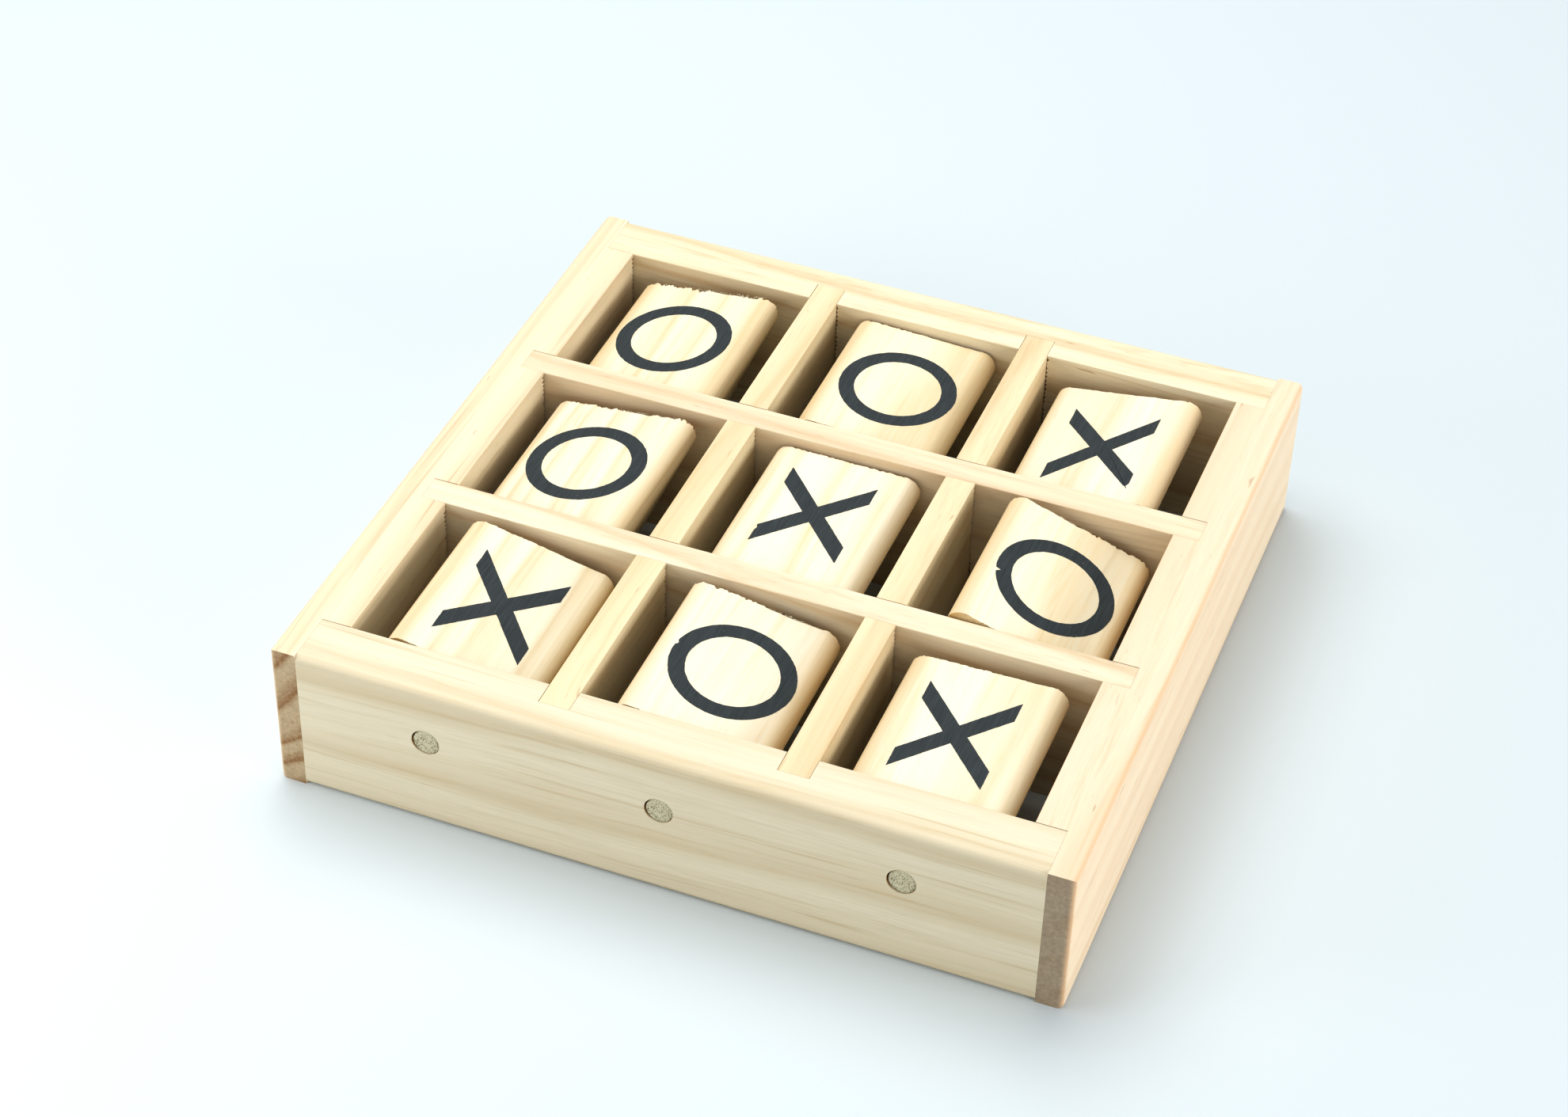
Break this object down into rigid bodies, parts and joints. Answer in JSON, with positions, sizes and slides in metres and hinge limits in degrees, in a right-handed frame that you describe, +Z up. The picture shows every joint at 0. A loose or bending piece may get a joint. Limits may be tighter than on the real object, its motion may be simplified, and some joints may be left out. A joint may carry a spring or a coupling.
{
  "type": "tic tac toe set",
  "caption": "Open square wooden frame whose divided cells each hold a three-sided block turning on a dowel, marked with a cross, a ring or nothing on each face.",
  "frame": {"origin": "centre of the underside of the frame, on the surface it stands on", "axes": "+X to the right along the front board, +Y from the front board to the back board along the dowels, +Z up"},
  "size_m": [0.145, 0.1436, 0.0313],
  "materials": {
    "pine_side": "planed bare pine, matte",
    "pine_end": "planed bare pine, matte",
    "pine_divider": "sawn and planed bare pine, matte",
    "bamboo": "turned bare bamboo dowel, matte",
    "pine_block": "sanded bare pine with matte charcoal printed marks"
  },
  "bodies": {
    "frame": {"side_board_left": "pine_side", "side_board_right": "pine_side", "front_board": "pine_end", "back_board": "pine_end", "cross_divider_front": "pine_divider", "cross_divider_back": "pine_divider", "column_divider_left": "pine_divider", "column_divider_right": "pine_divider", "dowel_left": "bamboo", "dowel_middle": "bamboo", "dowel_right": "bamboo"},
    "turning_block_front_left": {"block_front_left": "pine_block"},
    "turning_block_front_middle": {"block_front_middle": "pine_block"},
    "turning_block_front_right": {"block_front_right": "pine_block"},
    "turning_block_centre_left": {"block_centre_left": "pine_block"},
    "turning_block_centre_middle": {"block_centre_middle": "pine_block"},
    "turning_block_centre_right": {"block_centre_right": "pine_block"},
    "turning_block_back_left": {"block_back_left": "pine_block"},
    "turning_block_back_middle": {"block_back_middle": "pine_block"},
    "turning_block_back_right": {"block_back_right": "pine_block"}
  },
  "joints": [
    {"name": "turn_front_left", "type": "hinge", "parent": "frame", "child": "turning_block_front_left", "pos_m": [-0.04323, 0, 0.0185], "axis": [0, 1, 0], "continuous": true},
    {"name": "turn_front_middle", "type": "hinge", "parent": "frame", "child": "turning_block_front_middle", "pos_m": [0, 0, 0.0185], "axis": [0, 1, 0], "continuous": true},
    {"name": "turn_front_right", "type": "hinge", "parent": "frame", "child": "turning_block_front_right", "pos_m": [0.04323, 0, 0.0185], "axis": [0, 1, 0], "continuous": true},
    {"name": "turn_centre_left", "type": "hinge", "parent": "frame", "child": "turning_block_centre_left", "pos_m": [-0.04323, 0, 0.0185], "axis": [0, 1, 0], "continuous": true},
    {"name": "turn_centre_middle", "type": "hinge", "parent": "frame", "child": "turning_block_centre_middle", "pos_m": [0, 0, 0.0185], "axis": [0, 1, 0], "continuous": true},
    {"name": "turn_centre_right", "type": "hinge", "parent": "frame", "child": "turning_block_centre_right", "pos_m": [0.04323, 0, 0.0185], "axis": [0, 1, 0], "continuous": true},
    {"name": "turn_back_left", "type": "hinge", "parent": "frame", "child": "turning_block_back_left", "pos_m": [-0.04323, 0, 0.0185], "axis": [0, 1, 0], "continuous": true},
    {"name": "turn_back_middle", "type": "hinge", "parent": "frame", "child": "turning_block_back_middle", "pos_m": [0, 0, 0.0185], "axis": [0, 1, 0], "continuous": true},
    {"name": "turn_back_right", "type": "hinge", "parent": "frame", "child": "turning_block_back_right", "pos_m": [0.04323, 0, 0.0185], "axis": [0, 1, 0], "continuous": true}
  ]
}
